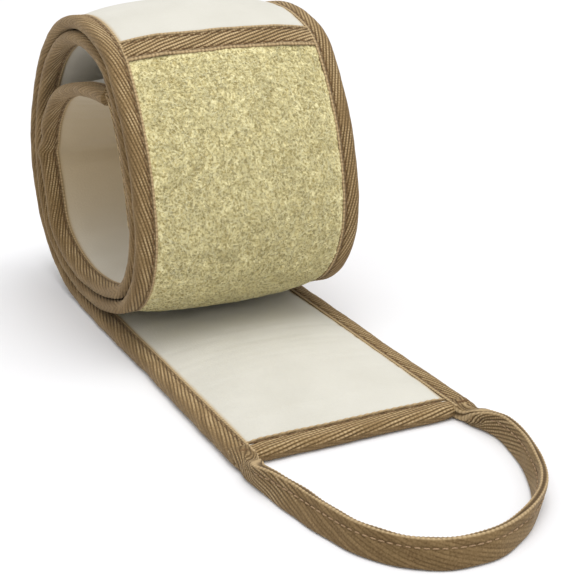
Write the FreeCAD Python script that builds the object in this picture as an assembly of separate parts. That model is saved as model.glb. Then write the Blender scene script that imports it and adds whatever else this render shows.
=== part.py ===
import FreeCAD, Part
import math
import os

# A long padded back scrubber: a strip of cloth, foam and loofah with a folded tape round its edges
# and a tape loop handle at each end. It is rolled up with the loofah side out. The front end lies
# flat on the floor as a flap, and the front handle stands on its edge beyond it.
#
# Millimetres. X is the roll's axis, +Z is up and the front handle points along -Y. The origin is
# at the centre of the whole object's footprint, on the floor.

Vec = FreeCAD.Vector

# Strap
WIDTH = 100.0            # strap width along X
THICK = 5.5              # thickness at the bound edges
TAPE = 0.8               # binding tape thickness
EDGE_FACE = 8.5          # width of the binding tape seen on each face of a long edge
END_FACE = 9.5           # the same at a crosswise end
CLOTH = 0.5              # backing cloth thickness
FOAM = 1.75              # foam thickness inside the binding
CROWN = 0.6              # how far the loofah and end cloths swell above the tape's inner face
CROWN_MARGIN = 1.0       # gap from the tape's edge to the swelling

# The rolled path of the strap's middle surface, seen along +X, as tangent arcs (radius, degrees).
FRONT_END_Y = -75.9      # front end of the flap
FLAT_LENGTH = 172.0      # from the front end to where the strap leaves the floor
PITCH = 6.5              # distance between one turn and the next
OUTER_TURN = [(99.0, 23.0), (47.0, 73.0), (82.0, 103.0), (30.0, 33.0),
              (112.0, 29.0), (44.0, 78.0), (139.0, 21.0)]
# The inner turn starts like the others, creases at the back and sags flat at the top.
INNER_TURN = [(86.0, 23.0), (21.0, 48.0), (290.0, 5.0), (10.0, 35.0), (54.0, 52.0), (200.0, 18.0)]

# Where the front part of the strap starts to lift off the floor when it is picked up.
HINGE_LENGTH = 94.0      # from the front end
BODY_GAP = 0.4           # clear gap on each side of a fold between two rigid bodies

# Seams
SEAM_TURN_DEG = 16.0     # the front seam is this far round the fourth arc of the outer turn
SEAM_TAPE = 10.0         # width of the crosswise seam tapes
STITCH_INSET = 1.7       # from the tape's inner edge to its stitching
THREAD = 0.5             # width of a stitching line
GROOVE = 0.3             # depth to which the stitching pulls into the tape

# Handles: tape folded double, standing on its edge round a loop
HANDLE_TAPE = 3.0        # folded thickness
HANDLE_WIDTH = 10.0      # folded width
HANDLE_LOOP = [(240.0, 14.0), (47.0, 27.0), (32.0, 79.0), (68.0, 33.0), (119.0, 28.0)]
HANDLE_INSET = 1.5       # from the strap's side to the middle of the handle tape
HANDLE_SEAM = 6.5        # height of the handle's stitching above its lower edge
TAB_LENGTH = 9.0         # flat length where the handle leaves the corner of the strap
TAB_WIDTH = 6.0
REAR_LOOP_START = 3.0    # degrees round the inside of the second turn's fifth arc
REAR_LOOP_LENGTH = 84.0  # along the inside of the roll
REAR_LOOP_GAP = 0.9      # between the rear handle and the turn that it rests against
REAR_LOOP_CORNER = 34.0  # corner radius of the rear loop's outside

HALF = WIDTH / 2
OUT = THICK / 2          # offset of the loofah side
SKIN = OUT - TAPE        # offset of the tape's inner face
FOAM_TOP = CLOTH + FOAM - SKIN
BIG = 1000.0


class Path:
    """A planar chain of tangent lines and arcs that can be offset and measured along."""

    def __init__(self, start, heading_deg):
        self.start = start
        self.heading = math.radians(heading_deg)
        self.spans = []
        self.length = 0.0

    def line(self, length):
        self._add(length, None)
        return self

    def arc(self, radius, degrees):
        self._add(radius * math.radians(degrees), radius)
        return self

    def _add(self, length, radius):
        start, heading = self._end()
        self.spans.append((self.length, length, radius, start, heading))
        self.length += length

    def _end(self):
        if not self.spans:
            return self.start, self.heading
        return self._on_span(self.spans[-1], self.spans[-1][1])

    def _on_span(self, span, along):
        _, _, radius, (u, v), heading = span
        if radius is None:
            return (u + along * math.cos(heading), v + along * math.sin(heading)), heading
        turned = heading + along / radius
        u += radius * (math.sin(turned) - math.sin(heading))
        v -= radius * (math.cos(turned) - math.cos(heading))
        return (u, v), turned

    def at(self, s):
        """The point and heading at length s."""
        for span in self.spans:
            if s <= span[0] + span[1]:
                break
        return self._on_span(span, s - span[0])

    def offset(self, s, d):
        """The point at length s, moved d to the right of the way along."""
        (u, v), heading = self.at(s)
        return u + d * math.sin(heading), v - d * math.cos(heading)

    def edges(self, s0, s1, d, place):
        """The offset path from s0 to s1 as edges, put into space by place(u, v)."""
        out = []
        for first, length, radius, _, _ in self.spans:
            a = max(s0, first)
            b = min(s1, first + length)
            if b - a < 1e-6:
                continue
            p = place(*self.offset(a, d))
            q = place(*self.offset(b, d))
            if radius is None:
                out.append(Part.LineSegment(p, q).toShape())
            else:
                middle = place(*self.offset((a + b) / 2, d))
                out.append(Part.Arc(p, middle, q).toShape())
        return out


def strip(path, s0, s1, d0, d1, place, sweep):
    """A solid between two offsets of a path, extruded along the vector sweep."""
    inner = path.edges(s0, s1, d0, place)
    outer = path.edges(s0, s1, d1, place)
    ends = []
    for s in (s0, s1):
        ends.append(Part.LineSegment(place(*path.offset(s, d0)), place(*path.offset(s, d1))).toShape())
    wire = Part.Wire(Part.__sortEdges__(inner + outer + ends))
    return Part.Face(wire).extrude(sweep)


def band(s0, s1, d0, d1, x0, x1):
    """Part of the strap: from s0 to s1 along it, d0 to d1 through it and x0 to x1 across it."""
    return strip(STRAP, s0, s1, d0, d1, lambda u, v: Vec(x0, u, v), Vec(x1 - x0, 0, 0))


def fuse(solids):
    whole = solids[0].fuse(solids[1:]) if len(solids) > 1 else solids[0]
    return whole.removeSplitter()


def box(x0, x1, y0, y1, z0, z1):
    return Part.makeBox(x1 - x0, y1 - y0, z1 - z0, Vec(x0, y0, z0))


def strap_path():
    path = Path((FRONT_END_Y, OUT), 0.0).line(FLAT_LENGTH)
    for radius, degrees in OUTER_TURN:
        path.arc(radius, degrees)
    for radius, degrees in OUTER_TURN:
        path.arc(radius - PITCH, degrees)
    for radius, degrees in INNER_TURN:
        path.arc(radius, degrees)
    return path


def turn_length(arcs, degrees, shrink):
    """Length along a turn: whole arcs, then degrees into the next. Shrink is taken off each radius."""
    length = sum((r - shrink) * math.radians(a) for r, a in OUTER_TURN[:arcs])
    return length + (OUTER_TURN[arcs][0] - shrink) * math.radians(degrees)


STRAP = strap_path()
REAR_END = STRAP.length
SECOND_TURN = FLAT_LENGTH + sum(r * math.radians(a) for r, a in OUTER_TURN)
FRONT_SEAM = FLAT_LENGTH + turn_length(3, SEAM_TURN_DEG, 0.0)
REAR_SEAM = REAR_END - FRONT_SEAM
FLAP_SPAN = (0.0, HINGE_LENGTH - BODY_GAP)
ROLL_SPAN = (HINGE_LENGTH + BODY_GAP, REAR_END)
# The padding is in one panel on each side of a seam. The side bindings are cut at the same places.
PANELS = {"flap": FLAP_SPAN,
          "front": (ROLL_SPAN[0], FRONT_SEAM),
          "middle": (FRONT_SEAM, REAR_SEAM),
          "rear": (REAR_SEAM, REAR_END)}
INSIDE = HALF - TAPE     # half width of the layers inside the side binding
CLEAR = HALF - EDGE_FACE  # half width between the side bindings


def filling(s0, s1, d0, d1):
    """A layer between the faces of the binding."""
    return band(s0, s1, d0, d1, -INSIDE, INSIDE)


def facing(s0, s1, flat_before, flat_after):
    """A loofah-side layer. It swells between the tapes, but not under a tape that covers its end."""
    half = CLEAR - CROWN_MARGIN
    flat = filling(s0, s1, FOAM_TOP, SKIN)
    before = flat_before + CROWN_MARGIN if flat_before else 0.0
    after = flat_after + CROWN_MARGIN if flat_after else 0.0
    crown = band(s0 + before, s1 - after, SKIN, SKIN + CROWN, -half, half)
    return fuse([flat, crown])


def side_binding(s0, s1, side):
    """Tape folded round one long edge, with a groove on each face where the stitching pulls in."""
    def span(inner, outer):
        return sorted((side * inner, side * outer))
    groove = CLEAR + STITCH_INSET
    pieces = [band(s0, s1, -SKIN, SKIN, *span(INSIDE, HALF))]
    for face in (-1, 1):
        low, step, top = face * SKIN, face * (OUT - GROOVE), face * OUT
        pieces.append(band(s0, s1, *sorted((low, step)), *span(CLEAR, HALF)))
        pieces.append(band(s0, s1, *sorted((step, top)), *span(CLEAR, groove)))
        pieces.append(band(s0, s1, *sorted((step, top)), *span(groove + THREAD, HALF)))
    return fuse(pieces)


def side_stitching(s0, s1, side):
    """The two faces of the lockstitch along one long edge, lying in the binding's grooves."""
    groove = CLEAR + STITCH_INSET
    lines = []
    for face in (-1, 1):
        depths = sorted((face * (OUT - GROOVE), face * OUT))
        lines.append(band(s0, s1, *depths, *sorted((side * groove, side * (groove + THREAD)))))
    return Part.makeCompound(lines)


def end_binding(end, inward):
    """Tape folded round a crosswise end, between the side bindings. It hides the layers' ends."""
    def span(first, last):
        return sorted((end + inward * first, end + inward * last))
    groove = END_FACE - STITCH_INSET
    pieces = [band(*span(0.0, TAPE), -OUT, OUT, -CLEAR, CLEAR)]
    for face in (-1, 1):
        low, step, top = face * SKIN, face * (OUT - GROOVE), face * OUT
        pieces.append(band(*span(0.0, END_FACE), *sorted((low, step)), -CLEAR, CLEAR))
        pieces.append(band(*span(0.0, groove - THREAD), *sorted((step, top)), -CLEAR, CLEAR))
        pieces.append(band(*span(groove, END_FACE), *sorted((step, top)), -CLEAR, CLEAR))
    return fuse(pieces)


def end_stitching(end, inward):
    groove = END_FACE - STITCH_INSET
    span = sorted((end + inward * (groove - THREAD), end + inward * groove))
    lines = []
    for face in (-1, 1):
        depths = sorted((face * (OUT - GROOVE), face * OUT))
        lines.append(band(*span, *depths, -CLEAR, CLEAR))
    return Part.makeCompound(lines)


def seam_tape(centre):
    """Tape over a crosswise joint between the loofah and an end cloth."""
    half = SEAM_TAPE / 2
    first = centre - half + STITCH_INSET
    last = centre + half - STITCH_INSET
    pieces = [band(centre - half, centre + half, SKIN, OUT - GROOVE, -CLEAR, CLEAR)]
    for s0, s1 in ((centre - half, first), (first + THREAD, last - THREAD), (last, centre + half)):
        pieces.append(band(s0, s1, OUT - GROOVE, OUT, -CLEAR, CLEAR))
    return fuse(pieces)


def seam_stitching(centre):
    half = SEAM_TAPE / 2 - STITCH_INSET
    lines = []
    for s0, s1 in ((centre - half, centre - half + THREAD), (centre + half - THREAD, centre + half)):
        lines.append(band(s0, s1, OUT - GROOVE, OUT, -CLEAR, CLEAR))
    return Part.makeCompound(lines)


def bar_tacks(end, inward):
    """Dense crosswise stitches that lock each handle end into the corner of the strap."""
    tacks = []
    for side in (-1, 1):
        across = sorted((side * (HALF - 1.0), side * (HALF - 5.5)))
        along = sorted((end + inward * 2.5, end + inward * 4.0))
        tacks.append(band(*along, -OUT - 0.3, -OUT, *across))
    return Part.makeCompound(tacks)


def handle_path():
    path = Path((-HALF + HANDLE_INSET, FRONT_END_Y), -90.0)
    for radius, degrees in HANDLE_LOOP:
        path.arc(radius, degrees)
    return path


HANDLE = handle_path()


def front_handle_tape():
    """The loop of folded tape on its edge, with a flat tab at each corner of the strap."""
    half = HANDLE_TAPE / 2
    stand = TAB_LENGTH - 2.0
    loop = strip(HANDLE, stand, HANDLE.length - stand, -half, half,
                 lambda u, v: Vec(u, v, 0), Vec(0, 0, HANDLE_WIDTH))
    near = FRONT_END_Y - BODY_GAP
    pieces = [loop]
    for side in (-1, 1):
        across = sorted((side * HALF, side * (HALF - TAB_WIDTH)))
        pieces.append(box(*across, near - TAB_LENGTH, near, 0, THICK))
    return fuse(pieces)


def front_handle_stitching():
    """Stitching that closes the folded tape, on both faces of the loop."""
    half = HANDLE_TAPE / 2
    lines = []
    for face in (-1, 1):
        depths = sorted((face * half, face * (half + 0.2)))
        lines.append(strip(HANDLE, TAB_LENGTH + 2.0, HANDLE.length - TAB_LENGTH - 2.0, *depths,
                           lambda u, v: Vec(u, v, HANDLE_SEAM), Vec(0, 0, THREAD)))
    return Part.makeCompound(lines)


def rounded_loop(half_width, bottom, corner, depth):
    """A prism along Y whose outline is a U closed at the bottom with round corners, open at the top."""
    top = depth
    a = Vec(-half_width, -BIG / 2, top)
    b = Vec(-half_width, -BIG / 2, bottom + corner)
    c = Vec(-half_width + corner, -BIG / 2, bottom)
    d = Vec(half_width - corner, -BIG / 2, bottom)
    e = Vec(half_width, -BIG / 2, bottom + corner)
    f = Vec(half_width, -BIG / 2, top)
    bend = corner * (1 - math.sqrt(0.5))
    left = Vec(-half_width + bend, -BIG / 2, bottom + bend)
    right = Vec(half_width - bend, -BIG / 2, bottom + bend)
    edges = [Part.LineSegment(a, b).toShape(), Part.Arc(b, left, c).toShape(),
             Part.LineSegment(c, d).toShape(), Part.Arc(d, right, e).toShape(),
             Part.LineSegment(e, f).toShape(), Part.LineSegment(f, a).toShape()]
    return Part.Face(Part.Wire(edges)).extrude(Vec(0, BIG, 0))


REAR_START = SECOND_TURN + turn_length(4, REAR_LOOP_START, PITCH)
REAR_STOP = REAR_START + REAR_LOOP_LENGTH
REAR_NEAR = -OUT - REAR_LOOP_GAP            # offset of the rear handle's face against the roll
REAR_FAR = REAR_NEAR - HANDLE_TAPE
REAR_LOW = STRAP.offset(REAR_STOP, REAR_FAR)[1]


def rear_ribbon(d0, d1, narrow):
    """A flat loop following the inside of the roll, narrowed by the given amount all round."""
    whole = band(REAR_START, REAR_STOP, d0, d1, -HALF + narrow, HALF - narrow)
    return whole.common(rounded_loop(HALF - narrow, REAR_LOW + narrow, REAR_LOOP_CORNER - narrow, BIG))


def rear_handle_tape():
    hole = rear_ribbon(REAR_FAR - 1.0, REAR_NEAR + 1.0, HANDLE_WIDTH + 1.0)
    return rear_ribbon(REAR_FAR, REAR_NEAR, 1.0).cut(hole)


def rear_handle_stitching():
    middle = 1.0 + HANDLE_WIDTH / 2
    outer = rear_ribbon(REAR_FAR - 0.2, REAR_FAR, middle)
    inner = rear_ribbon(REAR_FAR - 1.0, REAR_FAR + 1.0, middle + THREAD)
    return outer.cut(inner)


def strap_nodes():
    """Every node of the strap. Those that cross the fold are cut in two there."""
    nodes = {}
    for part, (s0, s1) in PANELS.items():
        first = max(s0, TAPE)
        last = min(s1, REAR_END - TAPE)
        nodes["foam_core_" + part] = filling(first, last, FOAM_TOP - FOAM, FOAM_TOP)
        for name, side in (("left", -1), ("right", 1)):
            nodes[name + "_edge_binding_" + part] = side_binding(s0, s1, side)
    for part, (s0, s1) in (("flap", FLAP_SPAN), ("roll", ROLL_SPAN)):
        first = max(s0, TAPE)
        last = min(s1, REAR_END - TAPE)
        nodes["backing_cloth_" + part] = filling(first, last, -SKIN, FOAM_TOP - FOAM)
        for name, side in (("left", -1), ("right", 1)):
            nodes[name + "_edge_stitching_" + part] = side_stitching(s0, s1, side)
    nodes["front_end_cloth_flap"] = facing(TAPE, FLAP_SPAN[1], END_FACE, 0.0)
    nodes["front_end_cloth_roll"] = facing(ROLL_SPAN[0], FRONT_SEAM, 0.0, SEAM_TAPE / 2)
    nodes["rear_end_cloth"] = facing(REAR_SEAM, REAR_END - TAPE, SEAM_TAPE / 2, END_FACE)
    nodes["loofah_panel"] = facing(FRONT_SEAM, REAR_SEAM, SEAM_TAPE / 2, SEAM_TAPE / 2)
    nodes["front_end_binding"] = end_binding(0.0, 1)
    nodes["rear_end_binding"] = end_binding(REAR_END, -1)
    nodes["front_end_stitching"] = end_stitching(0.0, 1)
    nodes["rear_end_stitching"] = end_stitching(REAR_END, -1)
    nodes["front_seam_tape"] = seam_tape(FRONT_SEAM)
    nodes["rear_seam_tape"] = seam_tape(REAR_SEAM)
    nodes["front_seam_stitching"] = seam_stitching(FRONT_SEAM)
    nodes["rear_seam_stitching"] = seam_stitching(REAR_SEAM)
    nodes["front_bar_tacks"] = bar_tacks(0.0, 1)
    nodes["rear_bar_tacks"] = bar_tacks(REAR_END, -1)
    return nodes


def main():
    os.makedirs("parts", exist_ok=True)
    nodes = strap_nodes()
    nodes["front_handle_tape"] = front_handle_tape()
    nodes["front_handle_stitching"] = front_handle_stitching()
    nodes["rear_handle_tape"] = rear_handle_tape()
    nodes["rear_handle_stitching"] = rear_handle_stitching()
    for name, shape in nodes.items():
        shape.exportStep(os.path.join("parts", name + ".step"))
        print(name, len(shape.Solids), shape.isValid(), round(shape.Volume / 1000.0, 2), "cm3")
    whole = Part.makeCompound(list(nodes.values())).BoundBox
    print("box", whole.XMin, whole.XMax, whole.YMin, whole.YMax, whole.ZMin, whole.ZMax)
    print("strap length", REAR_END, "front seam", FRONT_SEAM, "rear seam", REAR_SEAM)


main()
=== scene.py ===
import math

import bpy
import numpy as np
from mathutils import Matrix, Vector


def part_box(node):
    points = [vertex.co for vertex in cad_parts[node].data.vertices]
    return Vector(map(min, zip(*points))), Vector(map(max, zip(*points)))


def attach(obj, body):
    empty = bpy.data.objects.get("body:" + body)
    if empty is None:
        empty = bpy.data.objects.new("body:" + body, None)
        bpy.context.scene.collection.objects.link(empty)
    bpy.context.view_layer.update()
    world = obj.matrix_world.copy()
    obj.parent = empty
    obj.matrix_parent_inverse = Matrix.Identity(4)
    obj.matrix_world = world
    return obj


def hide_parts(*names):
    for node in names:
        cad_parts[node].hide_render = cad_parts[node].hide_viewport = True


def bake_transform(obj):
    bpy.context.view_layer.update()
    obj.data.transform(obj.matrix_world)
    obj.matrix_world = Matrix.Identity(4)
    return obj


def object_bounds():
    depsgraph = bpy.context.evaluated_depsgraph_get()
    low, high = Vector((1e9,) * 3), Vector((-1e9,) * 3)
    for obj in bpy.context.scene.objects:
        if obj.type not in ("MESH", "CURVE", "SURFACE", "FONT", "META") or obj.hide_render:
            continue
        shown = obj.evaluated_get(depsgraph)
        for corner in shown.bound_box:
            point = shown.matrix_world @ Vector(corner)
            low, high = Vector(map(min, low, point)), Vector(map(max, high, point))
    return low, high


# The rolled loofah back scrubber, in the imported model's frame. X is the roll's axis, the front handle
# points along -Y and the floor is at Z = 0. Lengths here are in mm, and place() and mm() turn them
# into the scene's metres.

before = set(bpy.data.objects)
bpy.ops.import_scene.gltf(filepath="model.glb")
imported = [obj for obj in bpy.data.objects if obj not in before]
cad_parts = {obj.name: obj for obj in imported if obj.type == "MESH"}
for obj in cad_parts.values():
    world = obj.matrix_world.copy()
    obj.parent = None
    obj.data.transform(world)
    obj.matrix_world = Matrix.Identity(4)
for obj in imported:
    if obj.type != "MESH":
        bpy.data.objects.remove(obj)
scene = bpy.context.scene
cad_low, cad_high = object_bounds()
MM = 0.001


def mm(value):
    return np.asarray(value, float) * MM


# ---- the strap's path and sizes, in mm

HALF = (cad_high.x - cad_low.x) / 2 / MM  # half the strap's width
end_low, end_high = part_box("front_end_binding")
OUT = (end_high.z - end_low.z) / MM / 2   # offset of the faces from the middle surface
TAPE = 0.8                  # thickness of the edge tape
SKIN = OUT - TAPE           # offset of the layers under the tape
FRONT_END_Y = end_low.y / MM
CLEAR = end_high.x / MM     # half width between the side bindings
LAP = 1.2                   # how far the faces go under the side bindings
INSET = 1.5                 # how far the layers stop short of the strap's ends
EDGE_FACE = HALF - CLEAR    # width of a side binding on each face
END_FACE = 9.5              # width of an end binding on each face
SEAM_TAPE = 10.0            # width of a seam tape
STITCH = 3.0                # length of one lockstitch
STITCH_INSET = 1.95         # from the tape's inner edge to its stitching
BEADS = 1.75                # length of one bead of the tape's selvage
LIFT = 0.00005              # lowest height of anything over the floor, m
FLAT_LENGTH = 172.0         # the strap's straight length on the floor
PITCH = 6.5                 # from turn to turn of the roll
# Arcs as (radius, degrees), from the floor at the front round the back and over the top.
OUTER_TURN = [(99.0, 23.0), (47.0, 73.0), (82.0, 103.0), (30.0, 33.0),
              (112.0, 29.0), (44.0, 78.0), (139.0, 21.0)]
INNER_TURN = [(86.0, 23.0), (21.0, 48.0), (290.0, 5.0), (10.0, 35.0), (54.0, 52.0), (200.0, 18.0)]
# The front handle's path, from the left corner round to the right one.
HANDLE_LOOP = [(240.0, 14.0), (47.0, 27.0), (32.0, 79.0), (68.0, 33.0), (119.0, 28.0)]
SPLIT = 150.0               # front pieces end here, out of sight


class Path:
    """A chain of tangent arcs (radius, degrees) and lines (None, length) in a plane."""

    def __init__(self, start, heading_deg, spans):
        rows, s, (u, v), heading = [], 0.0, start, math.radians(heading_deg)
        for radius, amount in spans:
            rows.append((s, 1.0 / radius if radius else 0.0, u, v, heading))
            self.table = np.array(rows).T
            s += radius * math.radians(amount) if radius else amount
            u, v, heading = self.at(s)
        self.length = s

    def at(self, s):
        """Position and heading at each length s."""
        s = np.asarray(s, float)
        first, curve, u, v, heading = self.table
        i = np.clip(np.searchsorted(first, s, side="right") - 1, 0, len(first) - 1)
        along, k, h = s - first[i], curve[i], heading[i]
        turned = h + along * k
        bent = np.abs(k) > 1e-12
        r = 1.0 / np.where(bent, k, 1.0)
        du = np.where(bent, r * (np.sin(turned) - np.sin(h)), along * np.cos(h))
        dv = np.where(bent, -r * (np.cos(turned) - np.cos(h)), along * np.sin(h))
        return u[i] + du, v[i] + dv, turned


def arcs_length(arcs):
    return sum(radius * math.radians(angle) for radius, angle in arcs)


NEXT_TURN = [(radius - PITCH, angle) for radius, angle in OUTER_TURN]
STRAP = Path((FRONT_END_Y, OUT), 0.0, [(None, FLAT_LENGTH)] + OUTER_TURN + NEXT_TURN + INNER_TURN)
REAR_END = STRAP.length
SECOND_TURN = FLAT_LENGTH + arcs_length(OUTER_TURN)
THIRD_TURN = SECOND_TURN + arcs_length(NEXT_TURN)
FRONT_SEAM = FLAT_LENGTH + arcs_length(OUTER_TURN[:3] + [(30, 16)])
REAR_SEAM = REAR_END - FRONT_SEAM
CREASE = THIRD_TURN + arcs_length(INNER_TURN[:3]) + 3.0  # crosswise dent of the inner turn


def lifted(points):
    points[..., 2] = np.maximum(points[..., 2], LIFT)
    return points


def place(s, x, d):
    """Points in metres at length s along the strap, x across it and d out of it, all in mm.
    The loofah side is at positive d."""
    y, z, heading = STRAP.at(s)
    s, x, d = np.broadcast_arrays(s, x, d)
    points = np.stack([x + 0 * y, y + d * np.sin(heading), z - d * np.cos(heading)], -1) * MM
    return lifted(points)


def outside(s):
    """Unit vectors out of the loofah side."""
    heading = STRAP.at(s)[2]
    return np.stack([0 * heading, np.sin(heading), -np.cos(heading)], -1)


# ---- small helpers

def bump(x):
    """1 at x = 0, falling to 0 at x = 1 and -1 on a half circle."""
    return np.sqrt(np.clip(1 - np.asarray(x, float) ** 2, 0, None))


def unit(vectors):
    return vectors / np.linalg.norm(vectors, axis=-1, keepdims=True)


def bell(x, middle, width):
    """1 at the middle, falling off evenly on both sides."""
    return np.exp(-((x - middle) / width) ** 2)


def beads(along):
    """The selvage's beads along the tape, from -1 to 1."""
    return np.cos(2 * np.pi * along / BEADS)


# The selvage is coloured lighter, with a painted highlight on each bead's crest.
def selvage_tint_and_highlight(selvage, along):
    return selvage * (0.45 + 0.35 * beads(along))


def smooth(x, low, high):
    t = np.clip((np.asarray(x, float) - low) / (high - low), 0, 1)
    return t * t * (3 - 2 * t)


def wave(x, longest, seed, octaves=4):
    """Smooth noise along a line, roughly from -1 to 1."""
    rng = np.random.default_rng(seed)
    total, size = 0 * np.asarray(x, float), 0.0
    for k in range(octaves):
        weight = 0.6 ** k
        total = total + weight * np.sin(2 * np.pi * (x / (longest * 0.57 ** k) + rng.random()))
        size += weight
    return total / size


def wave2(x, y, longest, seed):
    """Smooth noise over a plane, roughly from -1 to 1."""
    rng = np.random.default_rng(seed)
    total, waves = 0 * (x + y), 10
    for k in range(waves):
        angle, scale = rng.random() * 2 * np.pi, longest * (0.4 + 0.8 * rng.random())
        way = x * np.cos(angle) + y * np.sin(angle)
        total = total + np.sin(2 * np.pi * (way / scale + rng.random()))
    return total / math.sqrt(waves)


def facing(points, towards, wrap=False):
    """Unit normals of a grid on the side of the vectors towards, and whether i x j is that side."""
    grid = np.concatenate([points[:, -2:-1], points, points[:, 1:2]], 1) if wrap else points
    n = np.cross(np.gradient(grid, axis=0), np.gradient(grid, axis=1))
    n = n[:, 1:-1] if wrap else n
    n = n / np.maximum(np.linalg.norm(n, axis=-1, keepdims=True), 1e-12)
    right = float((n * towards).sum(-1).mean()) > 0
    return (n if right else -n), right


def new_object(name, verts, quads, uv=None, values=None, material=None, nodes=(), slot=None):
    mesh = bpy.data.meshes.new(name)
    verts = np.ascontiguousarray(verts, np.float32).reshape(-1, 3)
    quads = np.ascontiguousarray(quads, np.int32).reshape(-1, 4)
    mesh.vertices.add(len(verts))
    mesh.vertices.foreach_set("co", verts.ravel())
    mesh.loops.add(quads.size)
    mesh.loops.foreach_set("vertex_index", quads.ravel())
    mesh.polygons.add(len(quads))
    mesh.polygons.foreach_set("loop_start", np.arange(len(quads), dtype=np.int32) * 4)
    mesh.update(calc_edges=True)
    mesh.polygons.foreach_set("use_smooth", np.ones(len(quads), bool))
    if uv is not None:
        layer = mesh.uv_layers.new(name="UVMap")
        uv = np.asarray(uv, np.float32).reshape(-1, 2)
        layer.data.foreach_set("uv", uv[quads.ravel()].ravel())
    for key, value in (values or {}).items():
        attribute = mesh.attributes.new(key, "FLOAT", "POINT")
        attribute.data.foreach_set("value", np.asarray(value, np.float32).ravel())
    obj = bpy.data.objects.new(name, mesh)
    scene.collection.objects.link(obj)
    mesh.materials.append(material)
    for node in nodes:
        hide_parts(node)
    return obj


def grid_quads(rows, cols, right=True, wrap=False):
    i, j = np.meshgrid(np.arange(rows - 1), np.arange(cols if wrap else cols - 1), indexing="ij")
    k = (j + 1) % cols
    quads = [i * cols + j, (i + 1) * cols + j, (i + 1) * cols + k, i * cols + k]
    quads = np.stack(quads, -1).reshape(-1, 4)
    return quads if right else quads[:, ::-1]


UV_UNIT = 100.0


def grid_object(name, points, towards, height, along, across, wrap=False, values=None, **rest):
    """A displaced grid. Its UV holds the lengths along and across in units of UV_UNIT mm."""
    n, right = facing(points, towards, wrap)
    shape = points.shape[:2]
    height, along, across = (np.broadcast_to(a, shape) for a in (height, along, across))
    values = {k: np.broadcast_to(value, shape) for k, value in (values or {}).items()}
    moved = lifted(points + n * mm(height)[..., None])
    uv = np.stack([along, across], -1) / UV_UNIT
    quads = grid_quads(*shape, right, wrap)
    return new_object(name, moved, quads, uv=uv, values=values, **rest)


def tubes_object(name, centres, a, b, radius, sides, values=None, **rest):
    """Many tubes: centres (tubes, points, 3), their sections' axes a and b, and radius in mm."""
    turn = 2 * np.pi * np.arange(sides) / sides
    r = mm(radius)[..., None, None]
    ring = np.cos(turn)[:, None] * a[..., None, :] + np.sin(turn)[:, None] * b[..., None, :]
    verts = centres[..., None, :] + r * ring
    count, points = centres.shape[:2]
    one = grid_quads(points, sides, True, True)
    quads = (np.arange(count)[:, None, None] * (points * sides) + one[None]).reshape(-1, 4)
    spread = {key: np.broadcast_to(value[:, None, None], (count, points, sides))
              for key, value in (values or {}).items()}
    return new_object(name, verts, quads, values=spread, **rest)


# ---- materials

def linear(r, g, b):
    """A colour given as 0 to 255 screen values."""
    def one(v):
        v /= 255.0
        return v / 12.92 if v <= 0.04045 else ((v + 0.055) / 1.055) ** 2.4
    return (one(r), one(g), one(b), 1.0)


class Shader:
    """A material and short ways to add nodes to it."""

    def __init__(self, name):
        self.material = bpy.data.materials.new(name)
        self.material.use_nodes = True
        self.tree = self.material.node_tree
        self.bsdf = self.tree.nodes["Principled BSDF"]

    def add(self, kind, inputs=None, **props):
        node = self.tree.nodes.new(kind)
        for key, value in props.items():
            setattr(node, key, value)
        self.put_all(node, inputs or {})
        return node

    def put_all(self, node, inputs):
        for key, value in inputs.items():
            self.put(node.inputs[key], value)

    def put(self, socket, value):
        if isinstance(value, bpy.types.NodeSocket):
            self.tree.links.new(value, socket)
        else:
            socket.default_value = value

    def math(self, operation, a, b=0.0):
        return self.add("ShaderNodeMath", {0: a, 1: b}, operation=operation).outputs[0]

    def times(self, a, b):
        return self.math("MULTIPLY", a, b)

    def plus(self, a, b):
        return self.math("ADD", a, b)

    def minus(self, a, b):
        return self.math("SUBTRACT", a, b)

    def plane(self):
        """The lengths along and across the piece, in mm, from its UV map."""
        uv = self.add("ShaderNodeUVMap", uv_map="UVMap")
        split = self.add("ShaderNodeSeparateXYZ", {0: uv.outputs[0]})
        return self.times(split.outputs[0], UV_UNIT), self.times(split.outputs[1], UV_UNIT)

    def value(self, name):
        return self.add("ShaderNodeAttribute", attribute_name=name).outputs["Fac"]

    def noise(self, scale, detail=3.0, rough=0.5):
        coords = self.add("ShaderNodeTexCoord").outputs["Object"]
        inputs = {"Vector": coords, "Scale": scale, "Detail": detail, "Roughness": rough}
        return self.add("ShaderNodeTexNoise", inputs).outputs["Fac"]

    def ramp(self, fac, *stops):
        node = self.add("ShaderNodeValToRGB", {0: fac})
        elements = node.color_ramp.elements
        while len(elements) < len(stops):
            elements.new(0.5)
        for element, stop in zip(elements, stops):
            element.position, element.color = stop
        return node.outputs["Color"]

    def mix(self, fac, a, b):
        return self.add("ShaderNodeMix", {0: fac, 6: a, 7: b}, data_type="RGBA").outputs[2]

    def bump(self, height, distance, strength=1.0, normal=None):
        inputs = {"Height": height, "Distance": distance, "Strength": strength}
        if normal:
            inputs["Normal"] = normal
        return self.add("ShaderNodeBump", inputs).outputs["Normal"]

    def done(self, colour, roughness, normal, sheen=0.0, sheen_tint=(1, 1, 1, 1)):
        self.put_all(self.bsdf, {
            "Base Color": colour, "Roughness": roughness, "Normal": normal, "Sheen Weight": sheen,
            "Specular IOR Level": 0.25, "Sheen Roughness": 0.5, "Sheen Tint": sheen_tint})
        return self.material


RIB_ANGLE = math.radians(17.0)
RIB_COS, RIB_SIN = math.cos(RIB_ANGLE), math.sin(RIB_ANGLE)
RIB = 1.35                  # distance from rib to rib, square to them, mm
FLOAT = 1.1                 # length of one yarn float along a rib, mm
FLOAT_STEP = 0.37           # shift of the floats from rib to rib, in floats
RIB_DEPTH = 0.30


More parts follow.
